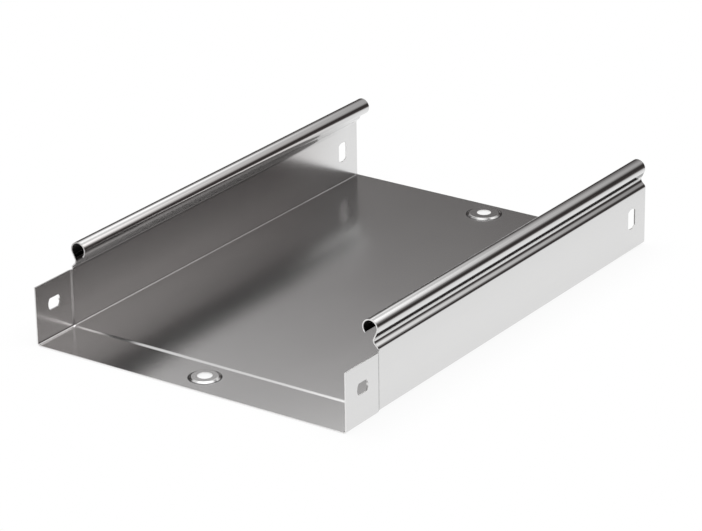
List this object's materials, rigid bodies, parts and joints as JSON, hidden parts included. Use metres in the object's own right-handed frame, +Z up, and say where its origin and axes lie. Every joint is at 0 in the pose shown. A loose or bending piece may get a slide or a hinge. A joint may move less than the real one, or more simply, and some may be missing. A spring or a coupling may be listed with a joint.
{
  "type": "cable tray",
  "caption": "Straight channel-shaped sheet-steel cable tray with a solid floor, rolled rim beads along its walls and a widened socket end that takes the next length.",
  "frame": {"origin": "centre of the bounding box in X and Y, on the ground in Z; the lowest face is the underside of the socket's floor", "axes": "+Y along the tray from the socket end to the plain end, +X to the right wall, +Z up out of the channel"},
  "size_m": [0.2014, 0.3, 0.0507],
  "materials": {
    "steel": "satin mill finish, brighter on the rolled beads"
  },
  "bodies": {
    "root": {"tray": "steel"}
  },
  "joints": []
}
